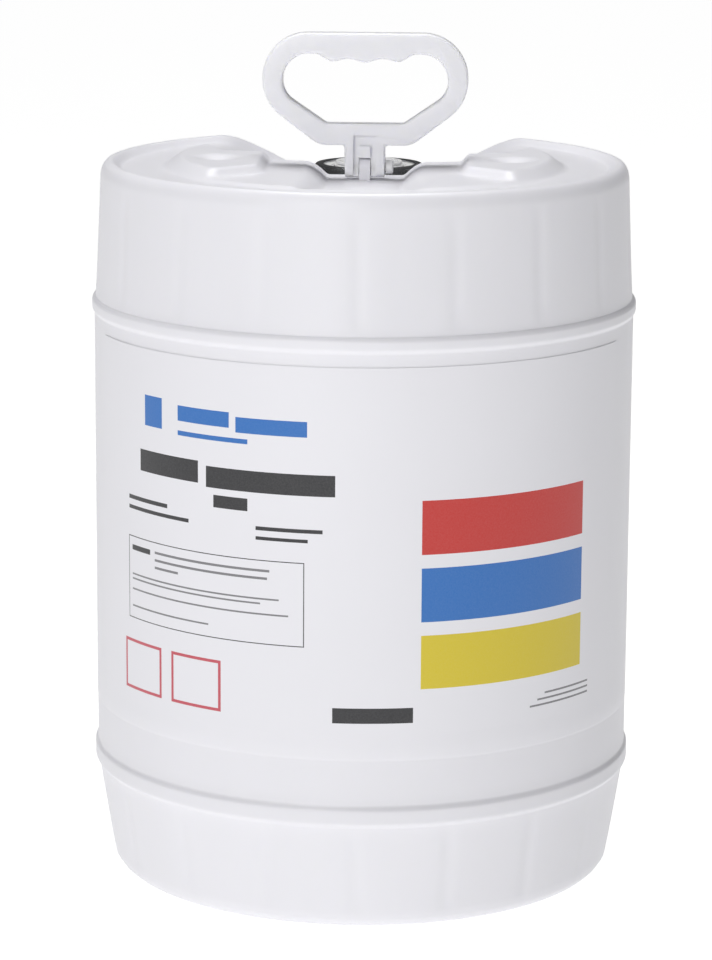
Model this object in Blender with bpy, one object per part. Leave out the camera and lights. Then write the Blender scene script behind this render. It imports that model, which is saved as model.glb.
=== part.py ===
"""Twenty-litre tight-head drum: blow-moulded shell, folding carry handle and pull-up pour spout.

The drum stands on z = 0 with its axis on Z. The label faces -Y and the pour spout is towards +Y.
All sizes are in metres.
"""
import math

import bmesh
import bpy

# Body
RIM_Z = 0.3825
WALL_RADIUS = 0.1440
HOOP_RADIUS = WALL_RADIUS + 0.0013
WALL = 0.0025
BASE_RADIUS = WALL_RADIUS - 0.0102
SHOULDER_RADIUS = WALL_RADIUS - 0.0036
LOWER_HOOP_Z = 0.0570
LOWER_HOOP_HEIGHT = 0.0110
UPPER_HOOP_HEIGHT = 0.0080
UPPER_HOOP_Z = RIM_Z - 0.0795
SHOULDER_Z = RIM_Z - 0.0090
BODY_SEGMENTS = 64
SMOOTH_ANGLE = 35

# Base
PUSH_UP = 0.0120
FOOT_INNER = BASE_RADIUS - 0.0208
FOOT_OUTER = BASE_RADIUS - 0.0058

# Head
RIM_CREST_RADIUS = WALL_RADIUS - 0.0085
GUTTER_OUTER = RIM_CREST_RADIUS - 0.0075
GUTTER_INNER = GUTTER_OUTER - 0.0195
GUTTER_Z = RIM_Z - 0.0035
DECK_RADIUS = GUTTER_INNER - 0.0055
DECK_Z = RIM_Z - 0.0025
LUG_RISE = 0.0050
LUG_FOOT_RADIUS = DECK_RADIUS + 0.0030
LUG_TOP_RADIUS = DECK_RADIUS - 0.0060
LUG_INNER_X = 0.0500
LUG_FRONT_ANGLE = 42.0
LUG_REAR_ANGLE = 52.0
LUG_SLOPE_RUN = 0.0060
DISH_RADIUS = 0.0150
DISH_DEPTH = 0.0035
DISH_X = LUG_TOP_RADIUS - 0.0190
DISH_Y = -0.0130

# Recess for the handle stem
TROUGH_FLOOR_DROP = 0.0078
TROUGH_HALF_FLOOR = 0.0205
TROUGH_HALF_TOP = TROUGH_HALF_FLOOR + 0.0080
TROUGH_FRONT_Y = 0.0210 - DECK_RADIUS
TROUGH_RAMP = 0.0160

# Pocket round the pour neck
NECK_Y = DECK_RADIUS - 0.0390
POCKET_DEPTH = 0.0280
POCKET_FLOOR_RADIUS = 0.0620
POCKET_FLARE = 0.81
POCKET_FRONT_Y = NECK_Y - 0.0470
POUR_LIP_STRETCH = 1.25
POUR_LIP_RISE = 0.0113
POUR_LIP_START = 0.0103

# Pour neck
NECK_HEIGHT = 0.0180
NECK_RADIUS = 0.0272
NECK_BORE = NECK_RADIUS - 0.0032
BEAD_RADIUS = NECK_RADIUS + 0.0026
BEAD_HEIGHT = 0.0046

# Handle
HANDLE_WIDTH = 0.1088
HANDLE_REACH = 0.0710
HANDLE_THICKNESS = 0.0116
LOOP_RISE = 0.0118
LOOP_CORNER = 0.0240
LOOP_KNEE_SHARE = 0.38176
GRIP_CORNER = 0.0140
GRIP_KNEE = 0.0120
GRIP_KNEE_SHARE = 0.42818
TOE_CORNER = 0.0140
GRIP_TOE_CORNER = 0.0040
BAR_END = 0.0108
BAR_TOP = 0.0109
BAR_BOTTOM = 0.0114
STEM_WIDTH = 0.0215
TOE_HALF_WIDTH = 0.0245
GRIP_TOE = 0.0205
HEEL_STEP = 0.0002
PIVOT_RISE = 0.0066
SLOT_CLEARANCE = 0.0004
TAB_THICKNESS = 0.0058
TAB_RADIUS = 0.0046
PIN_RADIUS = 0.0022
PIN_CLEARANCE = 0.0003
PIN_HEAD_RADIUS = 0.0035
PIN_HEAD_LENGTH = 0.0040
PIN_CHAMFER = 0.0006
CORE_WIDTH = 0.0122
CORE_DEPTH = 0.0042
CORE_TOP = 0.0053
RIB_TOP = 0.0003

# Pull-up spout and cap, measured from the neck's lip and axis
GAP = 0.0003
FLANGE_THICKNESS = 0.0014
FLANGE_BORE = 0.0206
RING_MOUTH = 0.0249
RING_CREST = BEAD_RADIUS - 0.0013
RING_SKIRT = BEAD_RADIUS + 0.0035
RING_DROP = BEAD_HEIGHT + 0.0012
NOZZLE_RADIUS = 0.0148
NOZZLE_BORE = 0.0128
NOZZLE_DROP = 0.0170
NOZZLE_TOP = 0.0012
NOZZLE_FOOT = 0.0178
THREAD_RISE = 0.0007
THREAD_PITCH = 0.0035
FIRST_THREAD_DROP = 0.0038
BELLOWS_WALL = 0.0009
CAP_CLEARANCE = 0.0004
CAP_WALL = 0.0013
CAP_TOP = 0.0026
CAP_LID = 0.0016
CAP_RIM = 0.0190
CAP_SKIRT = 0.0135
LINER_THICKNESS = 0.0013
SEAL_THICKNESS = 0.0009
SEAL_DROP = 0.0130
BAIL_OUTER = 0.0182
BAIL_WIDTH = 0.0024
BAIL_THICKNESS = 0.0014
BAIL_SPLIT = 0.0008
BAIL_PIVOT_Y = 0.0013
EAR_WIDTH = 0.0022
EAR_HALF_DEPTH = 0.0032
ROUND_SEGMENTS = 32

# Label
LABEL_LOW = LOWER_HOOP_Z + LOWER_HOOP_HEIGHT + 0.0380
LABEL_HIGH = UPPER_HOOP_Z - 0.0070
LABEL_SEGMENTS = 24
LABEL_THICKNESS = 0.0003

# Worked out from the values above
DECK_FLOOR = DECK_Z - TROUGH_FLOOR_DROP
PIVOT_Z = DECK_FLOOR + PIVOT_RISE
POCKET_FLOOR = DECK_Z - POCKET_DEPTH
NECK_TOP = POCKET_FLOOR + NECK_HEIGHT
LUG_TOP = DECK_Z + LUG_RISE


def clear_scene():
    for item in list(bpy.data.objects):
        bpy.data.objects.remove(item, do_unlink=True)


def finish(name, color, roughness, metallic=0.0, alpha=1.0):
    """Return a Principled material."""
    material = bpy.data.materials.new(name)
    material.use_nodes = True
    shader = material.node_tree.nodes["Principled BSDF"]
    shader.inputs["Base Color"].default_value = (*color, 1.0)
    shader.inputs["Roughness"].default_value = roughness
    shader.inputs["Metallic"].default_value = metallic
    shader.inputs["Alpha"].default_value = alpha
    return material


def add_object(name, mesh_data, material=None, location=(0.0, 0.0, 0.0)):
    """Turn a bmesh into an object with outward faces."""
    bmesh.ops.recalc_face_normals(mesh_data, faces=mesh_data.faces)
    if mesh_data.calc_volume(signed=True) < 0.0:
        bmesh.ops.reverse_faces(mesh_data, faces=mesh_data.faces)
    mesh = bpy.data.meshes.new(name)
    mesh_data.to_mesh(mesh)
    mesh_data.free()
    mesh.shade_smooth()
    mesh.set_sharp_from_angle(angle=math.radians(SMOOTH_ANGLE))
    item = bpy.data.objects.new(name, mesh)
    item.location = location
    bpy.context.collection.objects.link(item)
    if material is not None:
        mesh.materials.append(material)
    return item


def as_tool(item):
    item.hide_render = True
    item.display_type = "WIRE"
    return item


def boolean(target, tool, operation):
    change = target.modifiers.new(tool.name, "BOOLEAN")
    change.operation = operation
    change.solver = "EXACT"
    change.object = as_tool(tool)


def turned(profile, segments=ROUND_SEGMENTS):
    """Turn a closed outline of (radius, height) about Z. Points on the axis become single vertices."""
    shape = bmesh.new()
    rings = []
    for radius, height in profile:
        if radius <= 0.0:
            rings.append([shape.verts.new((0.0, 0.0, height))])
            continue
        ring = []
        for step in range(segments):
            angle = 2 * math.pi * step / segments
            ring.append(shape.verts.new((radius * math.cos(angle), radius * math.sin(angle), height)))
        rings.append(ring)
    for first, second in zip(rings, rings[1:] + rings[:1]):
        if len(first) == 1 and len(second) == 1:
            continue
        for step in range(segments):
            after = (step + 1) % segments
            if len(first) == 1:
                shape.faces.new((first[0], second[step], second[after]))
            elif len(second) == 1:
                shape.faces.new((first[step], first[after], second[0]))
            else:
                shape.faces.new((first[step], first[after], second[after], second[step]))
    return shape


def extruded(outline, depth, axis="Y"):
    """Extrude an outline of 2-D points by depth, centred on zero, along Y, X or Z."""
    shape = bmesh.new()
    sides = []
    for offset in (-depth / 2, depth / 2):
        ring = []
        for first, second in outline:
            places = {
                "X": (offset, first, second),
                "Y": (first, offset, second),
                "Z": (first, second, offset),
            }
            ring.append(shape.verts.new(places[axis]))
        sides.append(ring)
    shape.faces.new(sides[0])
    shape.faces.new(list(reversed(sides[1])))
    count = len(outline)
    for step in range(count):
        after = (step + 1) % count
        shape.faces.new((sides[0][step], sides[1][step], sides[1][after], sides[0][after]))
    return shape


def lofted(low, high):
    """Join two outlines with the same number of 3-D points into a closed solid."""
    shape = bmesh.new()
    first = [shape.verts.new(point) for point in low]
    second = [shape.verts.new(point) for point in high]
    shape.faces.new(first)
    shape.faces.new(list(reversed(second)))
    count = len(first)
    for step in range(count):
        after = (step + 1) % count
        shape.faces.new((first[step], second[step], second[after], first[after]))
    return shape


def box(low, high):
    x0, y0, z0 = low
    x1, y1, z1 = high
    corners = [(x0, y0), (x1, y0), (x1, y1), (x0, y1)]
    return lofted([(x, y, z0) for x, y in corners], [(x, y, z1) for x, y in corners])


def rounded_corner(before, corner, after, radius, steps=8):
    """Points of an arc that rounds the corner between two straight runs."""
    first = (before[0] - corner[0], before[1] - corner[1])
    second = (after[0] - corner[0], after[1] - corner[1])
    first_length = math.hypot(*first)
    second_length = math.hypot(*second)
    first = (first[0] / first_length, first[1] / first_length)
    second = (second[0] / second_length, second[1] / second_length)
    half = math.acos(max(-1.0, min(1.0, first[0] * second[0] + first[1] * second[1]))) / 2
    reach = min(radius / math.tan(half), 0.98 * first_length, 0.98 * second_length)
    radius = reach * math.tan(half)
    middle = (first[0] + second[0], first[1] + second[1])
    scale = radius / math.sin(half) / math.hypot(*middle)
    centre = (corner[0] + middle[0] * scale, corner[1] + middle[1] * scale)
    start = math.atan2(corner[1] + first[1] * reach - centre[1], corner[0] + first[0] * reach - centre[0])
    end = math.atan2(corner[1] + second[1] * reach - centre[1], corner[0] + second[0] * reach - centre[0])
    turn = (end - start + math.pi) % (2 * math.pi) - math.pi
    points = []
    for step in range(steps + 1):
        angle = start + turn * step / steps
        points.append((centre[0] + radius * math.cos(angle), centre[1] + radius * math.sin(angle)))
    return points


# ---------------------------------------------------------------------------- drum shell

def hoop(low, height, radius_below, radius_above):
    """Profile points of a rounded hoop, bottom to top."""
    return [
        (radius_below, low - 0.0006),
        (HOOP_RADIUS - 0.0005, low + 0.0008),
        (HOOP_RADIUS, low + 0.0024),
        (HOOP_RADIUS, low + height - 0.0024),
        (HOOP_RADIUS - 0.0005, low + height - 0.0008),
        (radius_above, low + height + 0.0006),
    ]


def wall_radius(height):
    """Outer radius of the moulded wall between the foot and the shoulder, hoops left out."""
    if height < LOWER_HOOP_Z:
        share = max(height, 0.0) / LOWER_HOOP_Z
        return BASE_RADIUS + (WALL_RADIUS - 0.0006 - BASE_RADIUS) * share ** 0.9
    if height > UPPER_HOOP_Z:
        share = (height - UPPER_HOOP_Z) / (SHOULDER_Z - UPPER_HOOP_Z)
        return WALL_RADIUS - 0.0006 + (SHOULDER_RADIUS - WALL_RADIUS + 0.0006) * min(share, 1.0) ** 0.85
    return WALL_RADIUS


def outer_profile():
    foot = [(0.0, PUSH_UP), (FOOT_INNER - 0.015, PUSH_UP), (FOOT_INNER - 0.009, PUSH_UP * 0.8),
            (FOOT_INNER - 0.003, PUSH_UP * 0.12), (FOOT_INNER, 0.0), (FOOT_OUTER, 0.0),
            (BASE_RADIUS - 0.0016, 0.0016), (BASE_RADIUS, 0.0050)]
    lower = [(wall_radius(LOWER_HOOP_Z * share), LOWER_HOOP_Z * share) for share in (0.25, 0.5, 0.75)]
    panel_low = LOWER_HOOP_Z + LOWER_HOOP_HEIGHT
    shoulder_span = SHOULDER_Z - UPPER_HOOP_Z - UPPER_HOOP_HEIGHT
    upper = []
    for share in (0.35, 0.7):
        height = UPPER_HOOP_Z + UPPER_HOOP_HEIGHT + shoulder_span * share
        upper.append((wall_radius(height), height))
    rise = RIM_Z - SHOULDER_Z
    reach = SHOULDER_RADIUS - RIM_CREST_RADIUS
    rim = []
    for step in range(5):
        angle = math.radians(90 * step / 4)
        rim.append((RIM_CREST_RADIUS + reach * math.cos(angle), SHOULDER_Z + rise * math.sin(angle)))
    head = [((RIM_CREST_RADIUS + GUTTER_OUTER) / 2, RIM_Z - 0.0014), (GUTTER_OUTER, GUTTER_Z),
            (GUTTER_INNER, GUTTER_Z), (DECK_RADIUS, DECK_Z + 0.0006), (DECK_RADIUS * 0.85, DECK_Z + 0.0006),
            (0.0, DECK_Z - 0.0010)]
    return (foot + lower + hoop(LOWER_HOOP_Z, LOWER_HOOP_HEIGHT, WALL_RADIUS - 0.0006, WALL_RADIUS)
            + [(WALL_RADIUS, (panel_low + UPPER_HOOP_Z) / 2)]
            + hoop(UPPER_HOOP_Z, UPPER_HOOP_HEIGHT, WALL_RADIUS, WALL_RADIUS - 0.0006) + upper + rim + head)


def inner_profile():
    floor = [(0.0, PUSH_UP + WALL), (FOOT_INNER - 0.013, PUSH_UP + WALL), (FOOT_INNER, WALL * 1.3),
             (FOOT_OUTER - 0.001, WALL), (BASE_RADIUS - WALL - 0.001, WALL + 0.003)]
    wall = []
    for height in (0.25 * LOWER_HOOP_Z, LOWER_HOOP_Z, UPPER_HOOP_Z + UPPER_HOOP_HEIGHT, SHOULDER_Z):
        wall.append((wall_radius(height) - WALL, height))
    roof = [(RIM_CREST_RADIUS - WALL, GUTTER_Z - WALL), (0.0, GUTTER_Z - WALL)]
    return floor + wall + roof


def lug_outline(side, grow, height_share):
    """Plan of one raised lug at a height between its foot (0) and its top (1)."""
    radius = LUG_FOOT_RADIUS + (LUG_TOP_RADIUS - LUG_FOOT_RADIUS) * height_share + grow
    inner = LUG_INNER_X + LUG_SLOPE_RUN * height_share - grow
    points = []
    steps = 8
    for step in range(steps + 1):
        angle = math.radians(-LUG_FRONT_ANGLE + (LUG_FRONT_ANGLE + LUG_REAR_ANGLE) * step / steps)
        trim = LUG_SLOPE_RUN * height_share / radius
        if step == 0:
            angle += trim
        points.append((side * max(radius * math.cos(angle), inner), radius * math.sin(angle)))
    points.append((side * inner, points[-1][1]))
    points.append((side * inner, points[0][1]))
    return points


def lug(side, grow=0.0):
    """One raised lug, from inside the deck up to its flat top."""
    top = LUG_TOP + grow
    foot = DECK_Z - WALL
    low = [(x, y, foot) for x, y in lug_outline(side, grow, 0.0)]
    high = [(x, y, top) for x, y in lug_outline(side, grow, 1.0)]
    return lofted(low, high)


def dish_sphere(side, grow):
    """Ball that presses the dish into a lug's top."""
    radius = (DISH_RADIUS ** 2 + DISH_DEPTH ** 2) / (2 * DISH_DEPTH)
    shape = bmesh.new()
    bmesh.ops.create_icosphere(shape, subdivisions=4, radius=radius + grow)
    centre = (side * DISH_X, DISH_Y, LUG_TOP + radius - DISH_DEPTH)
    bmesh.ops.translate(shape, vec=centre, verts=shape.verts)
    far = [vert for vert in shape.verts if vert.co.z > LUG_TOP + 0.006]
    bmesh.ops.delete(shape, geom=far, context="VERTS")
    bmesh.ops.holes_fill(shape, edges=[edge for edge in shape.edges if edge.is_boundary])
    return shape


def pocket(grow=0.0):
    """Flared recess round the neck, open to the rear, with a straight front wall."""
    steps = 40
    levels = []
    for height in (POCKET_FLOOR - grow, DECK_Z + 0.02):
        radius = POCKET_FLOOR_RADIUS + (height - POCKET_FLOOR + grow) * POCKET_FLARE + grow
        front = POCKET_FRONT_Y - grow + (0.005 if height < DECK_FLOOR - 0.01 else 0.0)
        ring = []
        for step in range(steps):
            angle = 2 * math.pi * (step + 0.5) / steps
            y = max(NECK_Y + radius * math.sin(angle), front)
            ring.append((radius * math.cos(angle), y, height))
        levels.append(ring)
    return lofted(*levels)


def pour_lip(grow=0.0):
    """Cut above the low rear edge of the pocket, where the stream leaves the drum."""
    steps = 40
    levels = []
    for height in (POCKET_FLOOR + POUR_LIP_RISE - grow, DECK_Z + 0.021):
        radius = POCKET_FLOOR_RADIUS + (height - POCKET_FLOOR + grow) * POCKET_FLARE + grow
        ring = []
        for step in range(steps):
            angle = 2 * math.pi * (step + 0.25) / steps
            y = NECK_Y + POUR_LIP_STRETCH * radius * math.sin(angle)
            ring.append((radius * math.cos(angle), max(y, NECK_Y + POUR_LIP_START - grow), height))
        levels.append(ring)
    return lofted(*levels)


def trough(grow=0.0):
    """Recess for the handle stem, from the pocket forward, with a ramp at its front end."""
    sections = []
    flare = (TROUGH_HALF_TOP - TROUGH_HALF_FLOOR) / TROUGH_FLOOR_DROP
    rear = POCKET_FRONT_Y + 0.01
    ramp_rise = TROUGH_FLOOR_DROP / TROUGH_RAMP
    for height, front in ((DECK_FLOOR - grow, TROUGH_FRONT_Y),
                          (DECK_Z + 0.012, TROUGH_FRONT_Y - (TROUGH_FLOOR_DROP + 0.012 + grow) / ramp_rise)):
        half = TROUGH_HALF_FLOOR + (height - DECK_FLOOR + grow) * flare + grow
        sections.append([(-half, front - grow, height), (half, front - grow, height),
                         (half, rear, height), (-half, rear, height)])
    return lofted(*sections)


def neck():
    chamfer = 0.0010
    return turned([(0.0, POCKET_FLOOR - WALL * 0.6), (NECK_RADIUS, POCKET_FLOOR - WALL * 0.6),
                   (NECK_RADIUS, NECK_TOP - BEAD_HEIGHT - chamfer), (BEAD_RADIUS, NECK_TOP - BEAD_HEIGHT),
                   (BEAD_RADIUS, NECK_TOP - chamfer), (BEAD_RADIUS - chamfer, NECK_TOP), (0.0, NECK_TOP)],
                  ROUND_SEGMENTS)


def cylinder_x(radius, x0, x1, y, z, segments=24):
    shape = bmesh.new()
    rings = []
    for x in (x0, x1):
        ring = []
        for step in range(segments):
            angle = 2 * math.pi * step / segments
            ring.append(shape.verts.new((x, y + radius * math.cos(angle), z + radius * math.sin(angle))))
        rings.append(ring)
    shape.faces.new(rings[0])
    shape.faces.new(list(reversed(rings[1])))
    for step in range(segments):
        after = (step + 1) % segments
        shape.faces.new((rings[0][step], rings[1][step], rings[1][after], rings[0][after]))
    return shape


def hinge_tab():
    """Upright tab in the trough that carries the handle's pin."""
    outline = []
    for step in range(19):
        angle = math.radians(10 * step)
        outline.append((TAB_RADIUS * math.cos(angle), PIVOT_Z + TAB_RADIUS * math.sin(angle)))
    outline += [(-TAB_RADIUS, DECK_FLOOR - WALL * 0.5), (TAB_RADIUS, DECK_FLOOR - WALL * 0.5)]
    return extruded(outline, TAB_THICKNESS, axis="X")


def make_drum_shell(material):
    shell = add_object("drum_shell", turned(outer_profile(), BODY_SEGMENTS), material)
    cavity = add_object("cavity", turned(inner_profile(), BODY_SEGMENTS))
    boolean(cavity, add_object("pocket_inside", pocket(WALL)), "DIFFERENCE")
    boolean(cavity, add_object("lip_inside", pour_lip(WALL)), "DIFFERENCE")
    boolean(cavity, add_object("trough_inside", trough(WALL)), "DIFFERENCE")
    for side, tag in ((-1, "left"), (1, "right")):
        body = add_object("lug_" + tag, lug(side))
        boolean(body, add_object("dish_" + tag, dish_sphere(side, 0.0)), "DIFFERENCE")
        boolean(shell, body, "UNION")
    boolean(shell, add_object("pocket", pocket()), "DIFFERENCE")
    boolean(shell, add_object("pour_lip", pour_lip()), "DIFFERENCE")
    boolean(shell, add_object("trough", trough()), "DIFFERENCE")
    neck_tube = add_object("neck", neck(), location=(0.0, NECK_Y, 0.0))
    boolean(shell, neck_tube, "UNION")
    tab = add_object("hinge_tab", hinge_tab())
    pin_hole = cylinder_x(PIN_RADIUS + PIN_CLEARANCE, -TAB_THICKNESS, TAB_THICKNESS, 0.0, PIVOT_Z)
    boolean(tab, add_object("tab_hole", pin_hole), "DIFFERENCE")
    boolean(shell, tab, "UNION")
    boolean(shell, cavity, "DIFFERENCE")
    bore = turned([(0.0, POCKET_FLOOR - 0.02), (NECK_BORE, POCKET_FLOOR - 0.02), (NECK_BORE, NECK_TOP + 0.01),
                   (0.0, NECK_TOP + 0.01)], ROUND_SEGMENTS)
    boolean(shell, add_object("neck_bore", bore, location=(0.0, NECK_Y, 0.0)), "DIFFERENCE")


# ---------------------------------------------------------------------------- handle

def knee_radius(wanted, room, run, drop):
    """Fillet between an upright side and one that runs inwards and down, limited by the room left."""
    half_turn = (math.pi - math.atan2(run, drop)) / 2
    return min(wanted, 0.98 * room * math.tan(half_turn))


def loop_outline():
    """Outside of the handle in X and height above the pivot, stem included."""
    half = HANDLE_WIDTH / 2
    top = HANDLE_REACH
    bottom = LOOP_RISE
    knee = bottom + LOOP_KNEE_SHARE * (top - bottom)
    corner = min(LOOP_CORNER, 0.656 * (top - knee))
    toe = TOE_HALF_WIDTH
    stem = STEM_WIDTH / 2
    bend = knee_radius(LOOP_CORNER, top - knee - corner, half - toe, knee - bottom)
    corners = [(half, top, corner), (half, knee, bend), (toe, bottom, TOE_CORNER)]
    right = [(0.0, top)] + [(x, z) for x, z, _ in corners] + [(stem, bottom)]
    points = []
    for index, (x, z, radius) in enumerate(corners):
        points += rounded_corner(right[index], (x, z), right[index + 2], radius)
    points += [(stem, bottom), (stem, 0.0)]
    return points + [(-x, z) for x, z in reversed(points)]


def finger_edge(x):
    """Lower edge of the top bar, with rests for four fingers, as height below the bar's top."""
    cusp = 0.0175
    reach = abs(x)
    if reach <= cusp:
        return BAR_TOP + 0.0045 - 0.0017 * math.sin(math.pi * x / cusp) ** 2 - 0.0005 * reach / cusp
    share = min((reach - cusp) / 0.0095, 1.0)
    return BAR_TOP + 0.0040 * (1 - share * share * (3 - 2 * share))


def grip_outline():
    """Outline of the hand hole."""
    half = HANDLE_WIDTH / 2 - BAR_END
    top = HANDLE_REACH
    floor = LOOP_RISE + BAR_BOTTOM
    ceiling = top - BAR_TOP
    knee = floor + GRIP_KNEE_SHARE * (ceiling - floor)
    side = ceiling - knee
    toe = GRIP_TOE
    corner = min(GRIP_CORNER, 0.67 * side)
    bend = knee_radius(GRIP_KNEE, side - corner, half - toe, knee - floor)
    corners = [(half, ceiling, corner), (half, knee, bend), (toe, floor, GRIP_TOE_CORNER)]
    run = [(0.0, ceiling)] + [(x, z) for x, z, _ in corners] + [(0.0, floor)]
    points = []
    for index, (x, z, radius) in enumerate(corners):
        points += rounded_corner(run[index], (x, z), run[index + 2], radius)
    fingers = [(x, top - finger_edge(x)) for x in [(-0.026 + 0.002 * step) for step in range(27)]]
    return fingers + points + [(-x, z) for x, z in reversed(points)]


def core_outline():
    """Cored recess in the stem's front face, either side of its middle rib."""
    half = CORE_WIDTH / 2
    rib = TAB_THICKNESS / 2
    low = -0.010
    top = LOOP_RISE + CORE_TOP
    rib_top = LOOP_RISE - RIB_TOP
    return [(-half, low), (-half, top), (half, top), (half, low), (rib, low), (rib, rib_top),
            (-rib, rib_top), (-rib, low)]


def make_handle(material):
    pivot = (0.0, 0.0, PIVOT_Z)
    handle = add_object("carry_handle", extruded(loop_outline(), HANDLE_THICKNESS), material, pivot)
    half_stem = STEM_WIDTH / 2
    heel_half = half_stem - HEEL_STEP
    heel = cylinder_x(HANDLE_THICKNESS / 2 - HEEL_STEP, -heel_half, heel_half, 0.0, 0.0, ROUND_SEGMENTS)
    boolean(handle, add_object("handle_heel", heel, location=pivot), "UNION")
    grip = extruded(grip_outline(), HANDLE_THICKNESS * 2)
    boolean(handle, add_object("handle_grip", grip, location=pivot), "DIFFERENCE")
    core = extruded(core_outline(), 2 * CORE_DEPTH)
    front = (0.0, -HANDLE_THICKNESS / 2, PIVOT_Z)
    boolean(handle, add_object("handle_core", core, location=front), "DIFFERENCE")
    slot = TAB_THICKNESS / 2 + SLOT_CLEARANCE
    slot_top = TAB_RADIUS + 2 * SLOT_CLEARANCE
    fork = box((-slot, -HANDLE_THICKNESS, -0.02), (slot, HANDLE_THICKNESS, slot_top))
    boolean(handle, add_object("handle_slot", fork, location=pivot), "DIFFERENCE")
    hole = cylinder_x(PIN_RADIUS + PIN_CLEARANCE, -STEM_WIDTH, STEM_WIDTH, 0.0, 0.0)
    boolean(handle, add_object("handle_hole", hole, location=pivot), "DIFFERENCE")


def make_handle_pin(material):
    """Plain pin with a head on one side and a chamfered tail."""
    head_start = STEM_WIDTH / 2 + GAP
    tail = -STEM_WIDTH / 2
    end = head_start + PIN_HEAD_LENGTH
    sections = [(tail, PIN_RADIUS - PIN_CHAMFER), (tail + PIN_CHAMFER, PIN_RADIUS),
                (head_start, PIN_RADIUS), (head_start, PIN_HEAD_RADIUS),
                (end - PIN_CHAMFER, PIN_HEAD_RADIUS), (end, PIN_HEAD_RADIUS - PIN_CHAMFER)]
    profile = [(0.0, sections[0][0])] + [(radius, x) for x, radius in sections] + [(0.0, sections[-1][0])]
    shape = turned(profile, 24)
    for vert in shape.verts:
        vert.co = (vert.co.z, vert.co.y, vert.co.x)
    add_object("handle_pin", shape, material, (0.0, 0.0, PIVOT_Z))


# ---------------------------------------------------------------------------- closure

def at_neck(name, shape, material, height=0.0, y=0.0):
    """Place a closure piece that is modelled about the neck's axis from the neck's lip."""
    return add_object(name, shape, material, (0.0, NECK_Y + y, NECK_TOP + height))


def make_crimp_ring(material):
    top = FLANGE_THICKNESS + 2 * GAP
    crest = top + 0.0012
    outside = [(RING_MOUTH, top), (RING_MOUTH + 0.0002, crest - 0.0006), (RING_MOUTH + 0.0017, crest),
               (RING_CREST, crest - 0.0003), (RING_CREST + 0.0010, crest - 0.0012),
               (RING_SKIRT - 0.0022, -0.0006), (RING_SKIRT, -0.0034), (RING_SKIRT - 0.0005, -RING_DROP)]
    inside = [(RING_SKIRT - 0.0012, -RING_DROP), (RING_SKIRT - 0.0009, -0.0036),
              (RING_SKIRT - 0.0029, -0.0009), (RING_CREST + 0.0002, crest - 0.0020),
              (RING_CREST - 0.0006, top)]
    at_neck("crimp_ring", turned(list(reversed(outside + inside)), 48), material)


def make_spout(flange_finish, moving_finish):
    flange = [(FLANGE_BORE, GAP), (RING_CREST - 0.0010, GAP), (RING_CREST - 0.0010, GAP + FLANGE_THICKNESS),
              (FLANGE_BORE, GAP + FLANGE_THICKNESS)]
    at_neck("spout_flange", turned(flange, 40), flange_finish)
    top = FLANGE_BORE - GAP
    foot = NOZZLE_FOOT + GAP
    low = -NOZZLE_DROP + 0.0012
    bellows = [(top, GAP + FLANGE_THICKNESS * 0.8), (top, GAP), (foot + BELLOWS_WALL, low), (foot, low),
               (top - BELLOWS_WALL, GAP + FLANGE_THICKNESS * 0.8)]
    at_neck("spout_bellows", turned(bellows, 40), moving_finish)
    foot_top = -NOZZLE_DROP + 0.0014
    outside = [(NOZZLE_FOOT, -NOZZLE_DROP), (NOZZLE_FOOT, foot_top), (NOZZLE_RADIUS, foot_top)]
    for turn in (2, 1):
        thread = -NOZZLE_TOP - FIRST_THREAD_DROP - (turn - 1) * THREAD_PITCH
        outside += [(NOZZLE_RADIUS, thread - 0.0008), (NOZZLE_RADIUS + THREAD_RISE, thread - 0.0002),
                    (NOZZLE_RADIUS + THREAD_RISE, thread + 0.0002), (NOZZLE_RADIUS, thread + 0.0008)]
    outside += [(NOZZLE_RADIUS, -NOZZLE_TOP), (NOZZLE_BORE, -NOZZLE_TOP), (NOZZLE_BORE, -NOZZLE_DROP)]
    at_neck("spout_nozzle", turned(outside, ROUND_SEGMENTS), moving_finish)


def make_tear_out_seal(material):
    """Membrane across the nozzle with a pull ring standing on it."""
    edge = NOZZLE_BORE - GAP
    disc = turned([(0.0, -SEAL_DROP), (edge, -SEAL_DROP), (edge, -SEAL_DROP + SEAL_THICKNESS),
                   (0.0, -SEAL_DROP + SEAL_THICKNESS)], ROUND_SEGMENTS)
    seal = at_neck("tear_out_seal", disc, material)
    post = box((-0.0012, -0.0008, -SEAL_DROP + SEAL_THICKNESS / 2), (0.0012, 0.0008, -SEAL_DROP + 0.0040))
    boolean(seal, at_neck("seal_post", post, None, y=-0.0074), "UNION")
    ring = turned([(0.0062, -0.0008), (0.0084, -0.0008), (0.0084, 0.0008), (0.0062, 0.0008)], 24)
    boolean(seal, at_neck("seal_ring", ring, None, height=-SEAL_DROP + 0.0042), "UNION")


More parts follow.
